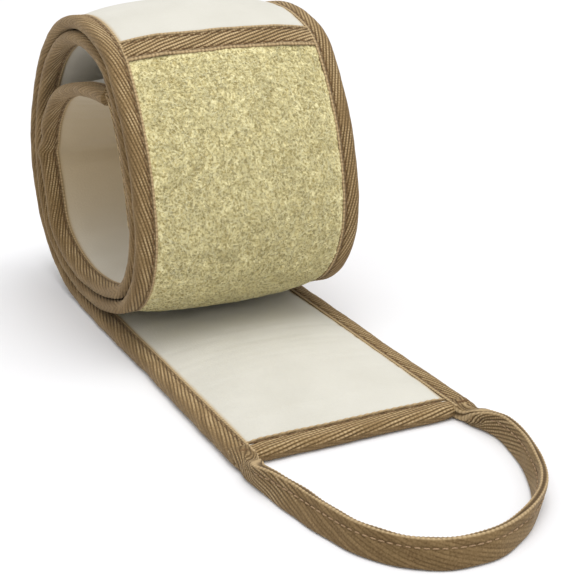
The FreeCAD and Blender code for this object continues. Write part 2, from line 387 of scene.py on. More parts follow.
def rib_height(along, across):
    """Height of the twill, from 0 in the grooves to 1 on the ribs. across is measured from the
    tape's fold, where the twill turns."""
    phase = (along * RIB_SIN - np.abs(across) * RIB_COS) / RIB
    part = phase - np.floor(phase)
    run = (along * RIB_COS + np.abs(across) * RIB_SIN) / FLOAT
    run = run + FLOAT_STEP * np.floor(phase)
    return bump(2 * part - 1) * (0.85 + 0.15 * np.cos(2 * np.pi * run))


def tape_material():
    m = Shader("twill_tape")
    along, across = m.plane()
    v = m.math("ABSOLUTE", across)
    phase = m.math("DIVIDE", m.minus(m.times(along, RIB_SIN),
                                     m.times(v, RIB_COS)), RIB)
    row = m.math("FLOOR", phase)
    part = m.minus(m.times(m.math("FRACT", phase), 2.0), 1.0)
    ridge = m.minus(1.0, m.math("POWER", m.math("ABSOLUTE", part), 2.2))
    run = m.math("DIVIDE", m.plus(m.times(along, RIB_COS),
                                  m.times(v, RIB_SIN)), FLOAT)
    run = m.plus(run, m.times(row, FLOAT_STEP))
    piece = m.minus(m.times(m.math("FRACT", run), 2.0), 1.0)
    bead = m.minus(1.0, m.times(piece, piece))
    weave = m.times(ridge, m.plus(0.72, m.times(bead, 0.28)))
    rib_random = m.add("ShaderNodeTexWhiteNoise", {"W": row}, noise_dimensions="1D")
    blotch = m.noise(160.0, 3.0)
    fleck = m.noise(1500.0, 2.0, 0.6)
    clear = m.value("weave")
    weave = m.plus(m.times(weave, clear), m.times(0.55, m.minus(1.0, clear)))
    tone_and_shade = m.plus(m.times(rib_random.outputs["Value"], 0.09), m.times(fleck, 0.36))
    tone_and_shade = m.plus(m.times(weave, 0.55), tone_and_shade)
    # Painted shade and highlight: the colour is dark in the twill's grooves and light on its ribs, with
    # random tone per rib and fine flecks.
    colour = m.ramp(tone_and_shade, (0.22, linear(38, 24, 9)), (0.44, linear(94, 70, 39)),
                    (0.64, linear(150, 123, 84)), (0.88, linear(228, 203, 160)))
    colour = m.mix(m.times(blotch, 0.35), colour, linear(134, 114, 74))
    # The hem value lightens the selvage, with a painted highlight on each bead.
    colour = m.mix(m.value("hem"), colour, linear(214, 188, 146))
    colour = m.mix(m.value("shade"), colour, linear(54, 37, 19))
    fibre = m.noise(4200.0, 2.0, 0.7)
    normal = m.bump(fibre, 0.00012, 0.6)
    normal = m.bump(weave, 0.00030, 0.9, normal)
    return m.done(colour, 0.86, normal, 0.25, linear(235, 215, 185))


def cloth_material():
    m = Shader("brushed_cotton")
    along, across = m.plane()
    warp = m.math("SINE", m.times(along, 2 * math.pi / 0.62))
    weft = m.math("SINE", m.times(across, 2 * math.pi / 0.55))
    weave = m.plus(m.times(m.times(warp, weft), 0.5), 0.5)
    nap = m.noise(900.0, 4.0, 0.6)
    cloud = m.noise(38.0, 3.0)
    colour = m.ramp(cloud, (0.25, linear(202, 200, 190)), (0.75, linear(213, 211, 202)))
    colour = m.mix(m.times(nap, 0.22), colour, linear(196, 188, 168))
    # Painted shade with a warm tint, as light bounced from the tape and loofah.
    colour = m.mix(m.times(m.value("shade"), 0.8), colour, linear(182, 156, 108))
    normal = m.bump(weave, 0.00008, 0.6)
    normal = m.bump(nap, 0.00025, 0.5, normal)
    return m.done(colour, 0.9, normal, 0.35, linear(255, 252, 245))


def loofah_material():
    m = Shader("loofah_net")
    fleck = m.noise(1300.0, 3.0, 0.65)
    cloud = m.noise(55.0, 3.0)
    # Painted shade and highlight: the mat's value runs dark deep in the net and light on its top
    # fibres; on the loose fibres it is random tone.
    tone_and_shade = m.plus(m.times(m.value("tone_and_shade"), 0.6), m.times(fleck, 0.4))
    colour = m.ramp(tone_and_shade, (0.08, linear(132, 110, 58)), (0.36, linear(199, 183, 126)),
                    (0.60, linear(236, 226, 174)), (0.90, linear(254, 250, 215)))
    tint = m.mix(fleck, linear(228, 211, 160), linear(220, 217, 160))
    colour = m.mix(m.times(cloud, 0.35), colour, tint)
    # Painted shade: dark speckles for the shade inside the loofah's pores.
    pores = m.times(m.minus(0.47, m.noise(1020.0, 1.0, 0.5)), 8.0)
    pores = m.add("ShaderNodeClamp", {"Value": pores, "Min": 0.0, "Max": 0.5}).outputs[0]
    colour = m.mix(pores, colour, linear(140, 119, 52))
    normal = m.bump(fleck, 0.0004, 0.9)
    return m.done(colour, 0.82, normal, 0.2, linear(255, 250, 225))


def thread_material(name, dark, light):
    m = Shader(name)
    fleck = m.noise(2600.0, 2.0)
    colour = m.ramp(fleck, (0.3, dark), (0.7, light))
    return m.done(colour, 0.7, m.bump(fleck, 0.0001, 0.6), 0.2, linear(255, 240, 220))


def foam_material():
    m = Shader("foam")
    pores = m.noise(1400.0, 2.0, 0.4)
    colour = m.ramp(pores, (0.35, linear(206, 198, 178)), (0.65, linear(240, 236, 224)))
    return m.done(colour, 0.95, m.bump(pores, 0.0003, 0.8))


def floor_material():
    m = Shader("floor")
    grain = m.noise(12.0, 2.0)
    colour = m.ramp(grain, (0.3, (0.84, 0.84, 0.855, 1)), (0.7, (0.85, 0.85, 0.865, 1)))
    return m.done(colour, 0.9, m.bump(grain, 0.0001, 0.1))


CLOTH_LOOK = cloth_material()
LOOFAH_LOOK = loofah_material()
THREAD_LOOK = thread_material("sewing_thread", linear(136, 108, 78), linear(168, 140, 106))
DARK_THREAD_LOOK = thread_material("brown_thread", linear(86, 60, 32), linear(128, 96, 58))
FOAM_LOOK = foam_material()
TAPED = {"material": tape_material(), "slot": "tape"}


# ---- folded edge tape

def tape_section(face, step):
    """The outer line of a tape folded over an edge: distance in from the edge, offset through the
    strap and the signed length from the fold, in mm. It turns in a little way at both free edges."""
    quarter = OUT * np.pi / 2
    reach = quarter + face - OUT
    v = np.linspace(-reach, reach, int(2 * reach / step) + 1)
    w = np.abs(v)
    turn = np.minimum(w, quarter) / OUT
    inward = OUT * (1 - np.cos(turn)) + np.maximum(w - quarter, 0)
    offset = -np.sign(v) * OUT * np.sin(turn)
    lip = [(face + 0.05, OUT - 0.5), (face + 0.05, SKIN - 0.45)]
    for inset, depth in lip:
        inward = np.concatenate([[inset], inward, [inset]])
        offset = np.concatenate([[depth], offset, [-depth]])
        v = np.concatenate([[v[0] - 0.4], v, [v[-1] + 0.4]])
    return inward, offset, v


def tape_relief(along, v, face, seed, rolled=0.0):
    """Height in mm and darkness of a folded tape's surface: twill ribs, beaded selvage, stitch groove
    and the slight puff between the stitching and the fold. rolled raises the selvage into a hem."""
    reach = OUT * np.pi / 2 + face - OUT
    w = np.abs(v)
    stitch = reach - STITCH_INSET
    clear = np.maximum(0.30 + 0.70 * smooth(w, 1.5, 4.5), rolled)
    clear = clear * (0.8 + 0.2 * wave2(along, v, 22.0, seed))
    ribs = RIB_DEPTH * (rib_height(along, v) - 1) * clear
    selvage = smooth(w, reach - 1.35, reach - 0.95)
    bead = (0.18 + 0.5 * rolled) * bump((w - reach + 0.5) / 0.6)
    bead = bead * (0.65 + 0.35 * beads(along)) - 0.1
    height = ribs * (1 - selvage) + bead * selvage
    pull = bell(w, stitch, 0.5)
    height = height - pull * (0.34 + 0.3 * rolled + 0.12 * np.cos(2 * np.pi * along / STITCH))
    puff = bump((w - stitch / 2) / (stitch / 2))
    height = height + 0.22 * puff * (0.7 + 0.3 * wave(along, 31.0, seed))
    inside = w > reach + 0.1
    height = np.where(inside, 0.0, height)
    shade = 0.18 * (1 - smooth(w, 2.0, 5.0)) * (1 - rolled) + (0.40 + 0.35 * rolled) * pull
    shade = shade + 0.7 * bell(w, reach - 1.15, 0.22) + np.where(inside, 0.8, 0.0)
    return height, {"shade": np.clip(shade, 0, 1), "weave": np.clip(clear * (1 - selvage), 0, 1),
                    "hem": selvage_tint_and_highlight(selvage, along)}


def side_shift(s, side):
    """How far a long edge wanders outwards, in mm, with a kink at the crease."""
    left = side < 0
    kink = 1.1 * bell(s, CREASE, 3.0) - 1.0 * bell(s, CREASE + 7, 5.0)
    return 0.45 * wave(s, 130.0, 11 if left else 12) + 0.15 * wave(s, 23.0, 13 if left else 14) + kink


def side_binding(name, side, s0, s1, nodes):
    """The tape folded over a long edge of the strap. Its end at the strap's end is closed."""
    inward, offset, v = tape_section(EDGE_FACE, 0.36)
    rows = int((s1 - s0) / 0.72) + 1
    s = np.linspace(s0, s1, rows)[:, None]
    full = np.where((s == 0.0) | (s == REAR_END), 0.0, 1.0)
    offset = offset * full
    inward = EDGE_FACE / 2 + (inward - EDGE_FACE / 2) * full
    x = side * (HALF - inward + side_shift(s, side) * np.clip(1 - inward / 12, 0, 1))
    points = place(s, x, offset)
    centre = place(s, np.full_like(x, side * (HALF - 5)), 0 * offset)
    height, values = tape_relief(s, v, EDGE_FACE, 21 if side < 0 else 22)
    height = height * full
    return grid_object(name, points, points - centre, height, s, v, values=values, nodes=nodes,
                       **TAPED)


GAP, THREAD_RADIUS = 0.75, 0.26  # between two lockstitches, and of their thread
X_AXIS = np.array([1.0, 0.0, 0.0])


def stitch_tubes(name, start, stop, line, nodes, material=DARK_THREAD_LOOK):
    """Lockstitches from start to stop. line(t) gives points, the direction across and the way out."""
    count = max(1, int((stop - start) / STITCH))
    begin = start + STITCH * np.arange(count)[:, None]
    part = np.linspace(0, 1, 7)[None]
    t = begin + GAP / 2 + (STITCH - GAP) * part
    points, across, out = line(t)
    dip = mm(-0.30 * np.abs(2 * part - 1) ** 3)[..., None]
    fat = THREAD_RADIUS * (1 - 0.55 * np.abs(2 * part - 1) ** 4) * np.ones_like(t)
    return tubes_object(name, points + out * dip, across, out, fat, 6, material=material,
                        nodes=nodes, slot="thread")


def side_stitching(label, part, side, s0, s1, nodes):
    made = []
    for face, facing_name in ((1, "loofah"), (-1, "cloth")):
        def line(t, face=face):
            x = side * (HALF - (EDGE_FACE - STITCH_INSET) + 0 * t)
            out = outside(t) * face
            return place(t, x, face * (OUT - 0.30)), X_AXIS + 0 * out, out
        name = "_".join((label, "edge_stitches", facing_name, part))
        made.append(stitch_tubes(name, s0, s1, line, nodes if face > 0 else []))
    return made


# ---- padded faces

# How far the middle of each face stands above the tapes, as (length, height).
FRONT_DIP = [(0, -0.8), (END_FACE - 1, -0.8)]
REAR_DIP = [(REAR_END - END_FACE, -0.3), (REAR_END - END_FACE + 1, -0.8), (REAR_END, -0.8)]
CLOTH_CROWN = FRONT_DIP + [
    (END_FACE + 0.5, -0.3), (24, 3.2), (50, 3.9), (100, 3.6), (122, 2.2), (140, 0.9), (152, 0.35),
    (700, 0.35), (735, 1.8), (800, 1.8), (828, 0.35), (945, 0.35), (965, 1.5), (990, 0.35),
    (1003, 1.5), (1040, 2.6), (CREASE - 9, 2.6), (CREASE, 0.2), (CREASE + 9, 2.6),
    (1160, 2.4)] + REAR_DIP
FACE_CROWN = FRONT_DIP + [
    (END_FACE + 1, -0.35), (180, -0.35), (212, 3.8), (300, 4.4), (400, 4.4), (FRONT_SEAM - 6, 2.7),
    (FRONT_SEAM, 2.2), (FRONT_SEAM + 6, 2.7), (FRONT_SEAM + 20, 4.4), (520, 4.2), (556, 2.6),
    (585, 0.5), (604, 0.2), (1100, 0.3), (1120, 1.8), (1165, 1.8)] + REAR_DIP


def crown(table, s):
    """The height at length s, in mm, eased between the table's rows."""
    at, height = np.array(table, float).T
    i = np.clip(np.searchsorted(at, s, side="right") - 1, 0, len(at) - 2)
    return height[i] + (height[i + 1] - height[i]) * smooth(s, at[i], at[i + 1])


PANEL_EDGE = 1.6            # how far outside the bindings' inner edges the faces' swelling ends


def pad_shape(s, x, puckers, seed):
    """0 at the tapes and about 1 over most of the width, with soft puckers along the seams."""
    edge = np.abs(x) / (CLEAR + PANEL_EDGE)
    shape = (1 - edge ** 5) * (1 - 0.12 * edge ** 2)
    near = bell((1 - edge) * CLEAR, 3, 6)
    ripple = wave(s + 40 * np.sign(x), 15.0, seed, 3) * near * 0.055
    dent = wave2(s, x, 46.0, seed + 1) * 0.03
    return shape + puckers * (ripple + dent * shape)


PANEL_LENGTH, SIM_FRAMES = 200.0, 30


def simulated_panel():
    """Heights over a cloth panel that is sewn down all round and filled, by cloth simulation: a
    grid over its length and width, about 1 in the middle."""
    scale, wide, rows, cols = 10.0, 0.086, 70, 31
    x, y = np.meshgrid(np.linspace(-wide / 2, wide / 2, cols), np.linspace(0, PANEL_LENGTH * MM, rows))
    verts = np.stack([x, y, 0 * x], -1) * scale
    panel = new_object("sim_panel", verts, grid_quads(rows, cols, False), material=CLOTH_LOOK)
    border = [i * cols + j for i in range(rows) for j in range(cols)
              if i in (0, rows - 1) or j in (0, cols - 1)]
    panel.vertex_groups.new(name="sewn").add(border, 1.0, "REPLACE")
    cloth = panel.modifiers.new("cloth", "CLOTH")
    settings = cloth.settings
    for key, value in dict(quality=6, mass=0.3, tension_stiffness=12, compression_stiffness=12,
                           shear_stiffness=6, bending_stiffness=0.25, vertex_group_mass="sewn",
                           shrink_min=-0.025, use_pressure=True, uniform_pressure_force=3.0).items():
        setattr(settings, key, value)
    settings.effector_weights.gravity = 0
    cloth.point_cache.frame_start, cloth.point_cache.frame_end = 1, SIM_FRAMES
    scene.frame_start, scene.frame_end = 1, SIM_FRAMES
    for f in range(SIM_FRAMES):
        scene.frame_set(f + 1)
    graph = bpy.context.evaluated_depsgraph_get()
    mesh = panel.evaluated_get(graph).to_mesh()
    z = np.array([v.co.z for v in mesh.vertices]).reshape(rows, cols)
    scene.frame_set(1)
    bpy.data.objects.remove(panel)
    z = z if z[rows // 2, cols // 2] > 0 else -z
    return z / np.percentile(z, 80)


PANEL = simulated_panel()


def panel_height(s, x, s0, s1, seed):
    """The padded shape of a panel from s0 to s1: simulated, or a plain formula for quick tries."""
    formula = pad_shape(s, x, 1.0, seed)
    if PANEL is None:
        return formula
    rows, cols = PANEL.shape
    ends = np.minimum(np.minimum(s - s0, s1 - s), PANEL_LENGTH / 2)
    i = np.clip(ends / PANEL_LENGTH * (rows - 1), 0, rows - 1.001)
    flip = np.where(s - s0 > s1 - s, -1.0, 1.0)
    j = flip * x / (2 * (CLEAR + PANEL_EDGE)) + 0.5
    j = np.clip(j * (cols - 1), 0, cols - 1.001)
    a, b = i.astype(int), j.astype(int)
    p, q = i - a, j - b
    height = ((1 - p) * (1 - q) * PANEL[a, b] + p * (1 - q) * PANEL[a + 1, b]
              + (1 - p) * q * PANEL[a, b + 1] + p * q * PANEL[a + 1, b + 1])
    middle = PANEL[rows // 2]
    across_only = middle[b] * (1 - q) + middle[b + 1] * q
    detail = np.clip(height - across_only, -0.25, 0.25) * smooth(ends, 6, 30)
    return formula * 0.45 + across_only * 0.55 + 0.6 * detail


def under_seam(s):
    """How far the faces are pressed down under the seam tapes, in mm."""
    near = np.minimum(np.abs(s - FRONT_SEAM), np.abs(s - REAR_SEAM))
    return 0.9 * smooth(SEAM_TAPE / 2 - near, 0.0, 1.6)


def face_panel(s0, s1, rows, cols):
    """Lengths along and across a face, in mm, up to its laps under the side bindings."""
    edge = CLEAR + LAP
    return np.meshgrid(np.linspace(s0, s1, rows), np.linspace(-edge, edge, cols), indexing="ij")


def cloth_panel(name, side, s0, s1, whole, node, length, table, seed):
    """A panel of the ivory cloth. side is 1 on the loofah's side of the strap and -1 on the other."""
    s, x = face_panel(s0, s1, int((s1 - s0) / 1.3) + 1, 66)
    rise = (TAPE + crown(table, s)) * panel_height(s, x, *whole, seed)
    points = place(s, x, side * (SKIN - 0.1 + rise - (under_seam(s) if side > 0 else 0.0)))
    # Painted shade: the cloth darkens at its edges, where it dips under the bindings, and on the back
    # cloth inside the roll, most near the crease.
    edge = np.clip((np.abs(x) - CLEAR + 1.6) / 1.6, 0, 1)
    roll_inside_shade = 0.25 * smooth(s, 600.0, 700.0) + 0.6 * smooth(s, CREASE - 75, CREASE - 5)
    shade = np.clip(edge ** 2 + (roll_inside_shade if side < 0 else 0.0), 0, 1)
    obj = grid_object(name, points, outside(s) * side, 0 * s, s, x, values={"shade": shade},
                      material=CLOTH_LOOK, nodes=[node], slot="cloth")
    return obj


# ---- build the strap

front_pieces, roll_pieces, flap_pieces = [], [], []
SIDES = ((-1, "left"), (1, "right"))
for side, label in SIDES:
    binding, stitching = label + "_edge_binding_", label + "_edge_stitching_"
    roll_nodes = [binding + part for part in ("front", "middle", "rear")]
    front_pieces.append(side_binding(label + "_edge_tape_front", side, 0.0, SPLIT, [binding + "flap"]))
    roll_pieces.append(side_binding(label + "_edge_tape_roll", side, SPLIT, REAR_END, roll_nodes))
    front_pieces += side_stitching(label, "front", side, 1.0, SPLIT, [stitching + "flap"])
    roll_pieces += side_stitching(label, "roll", side, SPLIT + 1.0, REAR_END - 1.0,
                                  [stitching + "roll"])


def foam_pad(name, s0, s1, nodes):
    """The padding between the cloths: a closed slab with rounded sides."""
    rows = int((s1 - s0) / 3.0) + 1
    s = np.linspace(s0, s1, rows)[:, None]
    turn = np.linspace(0, 2 * np.pi, 41)[:-1][None]
    x = (HALF - 1.6) * np.sign(np.cos(turn)) * np.abs(np.cos(turn)) ** 0.25
    d = 1.5 * np.sign(np.sin(turn)) * np.abs(np.sin(turn)) ** 0.35
    ends = np.clip(np.minimum(s - s0, s1 - s) / 1.5, 0.02, 1.0) ** 0.5
    points = place(s, x * np.where(ends < 1, 0.98, 1.0), d * ends)
    towards = points - place(s, 0 * x, 0 * d)
    obj = grid_object(name, points, towards, 0 * x, s, x, wrap=True, material=FOAM_LOOK,
                      nodes=nodes, slot="foam")
    return obj


REAR_STOP = REAR_END - INSET
front_pieces.append(foam_pad("foam_front", INSET, SPLIT, ["foam_core_flap"]))
roll_pieces.append(foam_pad("foam_roll", SPLIT, REAR_STOP,
                            ["foam_core_front", "foam_core_middle", "foam_core_rear"]))

STRAP_SPAN, FACE_SPAN, REAR_SPAN = (0.0, REAR_END), (0.0, FRONT_SEAM), (REAR_SEAM, REAR_END)
for name, *made_from in (
        ("back_cloth_front", -1, INSET, SPLIT, STRAP_SPAN, "backing_cloth_flap",
         0.150, CLOTH_CROWN, 31),
        ("back_cloth_roll", -1, SPLIT, REAR_STOP, STRAP_SPAN, "backing_cloth_roll",
         1.04, CLOTH_CROWN, 31),
        ("outer_cloth_front", 1, INSET, SPLIT, FACE_SPAN, "front_end_cloth_flap",
         0.150, FACE_CROWN, 37),
        ("outer_cloth_roll", 1, SPLIT, FRONT_SEAM + 1, FACE_SPAN, "front_end_cloth_roll",
         0.278, FACE_CROWN, 37),
        ("rear_cloth", 1, REAR_SEAM - 1, REAR_STOP, REAR_SPAN, "rear_end_cloth",
         0.427, FACE_CROWN, 41)):
    (front_pieces if "front" in name else roll_pieces).append(cloth_panel(name, *made_from))


# ---- crosswise tapes

def end_binding(name, end, inward_sign, node):
    """Tape folded round a crosswise end of the strap, between the side bindings."""
    inward, offset, v = tape_section(END_FACE, 0.42)
    x = np.linspace(-CLEAR - 0.3, CLEAR + 0.3, 110)[:, None]
    s = end + inward_sign * inward + 0.25 * wave(x, 37.0, 51)
    points = place(s, x, offset)
    centre = place(np.full_like(s, end + inward_sign * 5), x, 0 * offset)
    along = 0.6 * x + 60
    height, values = tape_relief(along, v, END_FACE, 52, np.where(v > 0, 1.0, 0.0))
    squeeze = 0.5 * smooth(np.abs(x), CLEAR - 6, CLEAR)
    return grid_object(name, points, points - centre, height - squeeze, along, v, values=values,
                       nodes=[node], **TAPED)


def cross_stitches(name, rows, faces, node, lift=lambda s, x: 0 * s):
    """Lines of stitches across the strap, at the lengths rows, on each of the faces."""
    made = []
    for k, (s, face) in enumerate((s, f) for s in rows for f in faces):
        def line(t, s=s, face=face):
            here = np.full_like(t, s)
            heading = STRAP.at(here)[2]
            across = np.stack([0 * heading, np.cos(heading), np.sin(heading)], -1)
            points = place(here, t, face * (OUT - 0.28 + lift(here, t)))
            return points, across, outside(here) * face
        made.append(stitch_tubes(name + "_" + str(k), -CLEAR + 1, CLEAR - 1, line,
                                 [node] if k == 0 else []))
    return made


flap_pieces.append(end_binding("front_end_tape", 0.0, 1, "front_end_binding"))
roll_pieces.append(end_binding("rear_end_tape", REAR_END, -1, "rear_end_binding"))
END_STITCHES = END_FACE - STITCH_INSET
flap_pieces += cross_stitches("front_end_stitches", [END_STITCHES], (-1, 1), "front_end_stitching")
roll_pieces += cross_stitches("rear_end_stitches", [REAR_END - END_STITCHES], (-1, 1),
                              "rear_end_stitching")


def seam_lift(s, x):
    """How far a seam tape follows the swelling of the faces under it."""
    return (TAPE + crown(FACE_CROWN, s)) * pad_shape(s, x, 0.3, 61) - TAPE + 0.55


def seam_tape(name, centre, node):
    """Tape over the joint of loofah and end cloth, with a beaded selvage on each side."""
    half = SEAM_TAPE / 2
    v = np.linspace(-half, half, 27)
    v = np.concatenate([[v[0] - 0.1], v, [v[-1] + 0.1]])
    x = np.linspace(-CLEAR - 0.8, CLEAR + 0.8, 110)[:, None]
    s, x = np.broadcast_arrays(centre + v + 0.35 * wave(x, 41.0, 62), x)
    w = np.abs(v)
    tucked = w > half + 0.05
    lift = np.maximum(seam_lift(s, x), -0.75)
    points = place(s, x, OUT + lift + np.where(tucked, -0.9, 0.0))
    along, across = 77 - x, v + 20
    edge = smooth(w, half - 1.3, half - 0.9)
    bead = 0.30 * bump((w - half + 0.5) / 0.6) * (0.6 + 0.4 * beads(x)) - 0.1
    pull = bell(w, half - STITCH_INSET, 0.45)
    height = RIB_DEPTH * (rib_height(along, across) - 1) * (1 - edge) + bead * edge - 0.35 * pull
    shade = 0.3 * pull + 0.6 * bell(w, half - 1.1, 0.28) + tucked * 0.7
    values = {"shade": np.clip(shade, 0, 1), "weave": 1 - edge, "hem": selvage_tint_and_highlight(edge, x)}
    return grid_object(name, points, outside(s), height, along, across, values=values,
                       nodes=[node], **TAPED)


for name, centre in (("front_seam", FRONT_SEAM), ("rear_seam", REAR_SEAM)):
    roll_pieces.append(seam_tape(name + "_band", centre, name + "_tape"))
    reach = SEAM_TAPE / 2 - STITCH_INSET
    roll_pieces += cross_stitches(name + "_stitches", [centre - reach, centre + reach], (1,),
                                  name + "_stitching", seam_lift)


def bar_tack(name, end, sign, side, node):
    """A dense zigzag of thread across the corner, where a handle end is locked in."""
    count = 16
    k = np.arange(count)[:, None]
    part = np.linspace(0, 1, 5)[None]
    x = side * (HALF - 1.9 - 4.4 * (k + 0.5 * part) / count)
    s = end + sign * (2.2 + 1.6 * np.where(k % 2 == 0, part, 1 - part))
    points = place(s, x, -(OUT + 0.12) + 0 * s)
    out = -outside(s)
    return tubes_object(name, points, X_AXIS + 0 * out, out, 0.14 + 0 * s, 5,
                        material=DARK_THREAD_LOOK, nodes=[node] if side < 0 else [], slot="thread")


for side, label in SIDES:
    flap_pieces.append(bar_tack("front_tack_" + label, 0.0, 1, side, "front_bar_tacks"))
    roll_pieces.append(bar_tack("rear_tack_" + label, REAR_END, -1, side, "rear_bar_tacks"))


# ---- loofah

# The fine mat ends at LOOFAH_SHOWN, under the roll, and a coarse one goes on inside.
LOOFAH_START, LOOFAH_SHOWN, LOOFAH_STOP = FRONT_SEAM - 1, 606.0, REAR_SEAM + 1
rng = np.random.default_rng(2026)


def fibre_curves(count, s0, s1, steps, shortest, longest):
    """Random curved fibres in the panel's plane: their points along and across, (count, steps) each."""
    length = shortest + (longest - shortest) * rng.random(count) ** 1.5
    heading = rng.normal(0.0, 1.0, count) + np.where(rng.random(count) < 0.5, 0.0, np.pi / 2)
    turn = rng.normal(0.0, 0.9, count)
    wiggle = rng.normal(0.0, 0.4, count)
    t = np.linspace(0, 1, steps)[None]
    angle = heading[:, None] + turn[:, None] * (t - 0.5) + wiggle[:, None] * np.sin(2 * np.pi * t)
    step, half = (length / (steps - 1))[:, None], length[:, None] / 2
    s = np.cumsum(np.cos(angle) * step, 1) + (s0 + (s1 - s0) * rng.random(count))[:, None]
    x = np.cumsum(np.sin(angle) * step, 1) + ((2 * rng.random(count) - 1) * (CLEAR + 2))[:, None]
    return s - np.cos(angle[:, :1]) * half, x - np.sin(angle[:, :1]) * half


def face_rise(s, x):
    """Offset of the loofah from the middle surface, in mm."""
    rise = (TAPE + crown(FACE_CROWN, s)) * panel_height(s, x, FRONT_SEAM, SECOND_TURN + 60, 45)
    return SKIN - 0.1 + rise - under_seam(s)


def loofah_lumps(s, x):
    return wave2(s, x, 21.0, 71) * 0.12 + wave2(s, x, 2.6, 72) * 0.07


def loofah_panel(name, s0, s1, cell, fibres, nodes):
    """The flattened loofah: a net of fibres pressed into a mat, as a height field."""
    edge = CLEAR + LAP
    rows, cols = int((s1 - s0) / cell) + 1, int(2 * edge / cell) + 1
    s, x = face_panel(s0, s1, rows, cols)
    net = np.zeros((rows, cols))
    steps, radius = 20, 0.32
    fs, fx = fibre_curves(fibres, s0 - 4, s1 + 4, steps, 3.0, 8.0)
    arch = 0.4 + 0.6 * np.sin(np.linspace(0.2, 2.9, steps))
    level = 0.2 + 0.8 * rng.random(fibres)[:, None] * arch[None]
    for di in (-1, 0, 1):
        for dj in (-1, 0, 1):
            i = np.round((fs - s0) / cell).astype(int) + di
            j = np.round((fx + edge) / cell).astype(int) + dj
            inside = (i >= 0) & (i < rows) & (j >= 0) & (j < cols)
            far = np.hypot(fs - (s0 + i * cell), fx + edge - j * cell)
            height = level * bump(far / radius)
            np.maximum.at(net, (i[inside], j[inside]), height[inside])
    shown = smooth(crown(FACE_CROWN, s), 0.3, 2.0)
    relief = (net * 0.75 - 0.5) * (0.25 + 0.75 * shown) + loofah_lumps(s, x) * shown
    # Painted shade and highlight: the mat's colour darkens deep between the fibres and lightens on the
    # highest ones.
    tone_and_shade = np.clip(0.15 + 0.7 * net, 0, 1)
    obj = grid_object(name, place(s, x, face_rise(s, x)), outside(s), relief, s, x,
                      values={"tone_and_shade": tone_and_shade}, material=LOOFAH_LOOK, nodes=nodes, slot="loofah")
    return obj


def loofah_fibres(name, count, s0, s1):
    """Loose curved fibres lying over and through the mat."""
    steps = 6
    s, x = fibre_curves(count, s0, s1, steps, 3.0, 9.0)
    keep = (np.abs(x) < CLEAR - 0.2) & (s > FRONT_SEAM + SEAM_TAPE / 2 + 0.2) & (s < s1 + 2)
    keep = keep.all(1)
    s, x = s[keep], x[keep]
    count = len(s)
    part = np.linspace(-1, 1, steps)[None]
    arch = (0.05 + 0.25 * rng.random(count))[:, None] - 0.55 * np.abs(part) ** 3
    shown = smooth(crown(FACE_CROWN, s), 0.2, 1.5)
    rise = (arch + loofah_lumps(s, x)) * shown - 0.35 * (1 - shown)
    centres = place(s, x, face_rise(s, x) + rise)
    way = unit(np.gradient(centres, axis=1))
    across = unit(np.cross(way, outside(s)))
    fat = (0.07 + 0.07 * rng.random(count))[:, None] * (1 - 0.6 * np.abs(part) ** 6)
    return tubes_object(name, centres, across, np.cross(across, way), fat, 3, slot="loofah",
                        values={"tone_and_shade": 0.45 + 0.55 * rng.random(count)}, material=LOOFAH_LOOK)


shown_cell = 0.42
roll_pieces += [
    loofah_panel("loofah_mat", LOOFAH_START, LOOFAH_SHOWN, shown_cell, 19000, ["loofah_panel"]),
    loofah_panel("loofah_mat_inner", LOOFAH_SHOWN - 0.5, LOOFAH_STOP, 1.2, 6000, [])]
for k in range(3):
    roll_pieces.append(loofah_fibres("loofah_fibres_" + str(k + 1), 5200, FRONT_SEAM + 4,
                                     LOOFAH_SHOWN - 3.0))


# ---- handles

HALF_THICK, HALF_HIGH = 1.5, 5.0  # half sizes of a handle's section
HANDLE_SEAM = 7.6           # from its fold to its stitching, round the section
HANDLE_BARE = 14.0          # length of each end without stitching
HANDLE_SINK = 7.0           # length of the front handle's ends inside the strap's corners


def section_point(angle, half_thick, half_high):
    """A rounded slab's outline: sideways and up from its middle."""
    side, up = np.sin(angle), -np.cos(angle)
    return (half_thick * np.sign(side) * np.abs(side) ** 0.42,
            half_high * np.sign(up) * np.abs(up) ** 0.62)


def section_table():
    """Angle against length round a folded tape's section, from the fold at the bottom, in mm."""
    angle = np.linspace(-np.pi, np.pi, 721)
    side, up = section_point(angle, HALF_THICK, HALF_HIGH)
    length = np.concatenate([[0], np.cumsum(np.hypot(np.diff(side), np.diff(up)))])
    return angle, length - length[-1] / 2


ANGLES, LENGTHS = section_table()
FRONT_PATH = Path((-HALF + 1.5, FRONT_END_Y), -90.0, HANDLE_LOOP)


def handle_grid(t, cols):
    """The lengths t, and angle and length round the section, for a handle's whole surface."""
    v = np.linspace(LENGTHS[0], LENGTHS[-1], cols + 1)[:-1]
    t, angle = np.broadcast_arrays(t[:, None], np.interp(v, LENGTHS, ANGLES)[None])
    return t, angle, v[None]


def from_end(t):
    return np.minimum(t, FRONT_PATH.length - t)


def front_handle_frame(t):
    """Centre line and shape of the front handle at length t, negative inside the strap's corner."""
    u, v, heading = FRONT_PATH.at(t)
    near = from_end(t)
    stand = smooth(near, 0.0, 24.0)
    pinch = bell(near, 3.5, 2.6)
    half_thick = (4.55 - 3.0 * stand) * (1 - 0.14 * pinch)
    half_high = (2.85 + 2.15 * stand) * (1 - 0.12 * pinch)
    share = t / FRONT_PATH.length
    lean = np.radians(24.0) * smooth(near, 8.0, 40.0) * (1 - 1.75 * smooth(share, 0.42, 0.74))
    inward = 3.05 * (1 - smooth(near, -1.0, 22.0))
    side = np.stack([np.sin(heading), -np.cos(heading), 0 * u], -1)
    base = np.stack([u, v, 0 * u], -1) - side * inward[..., None]
    return base, side, half_thick, half_high, lean


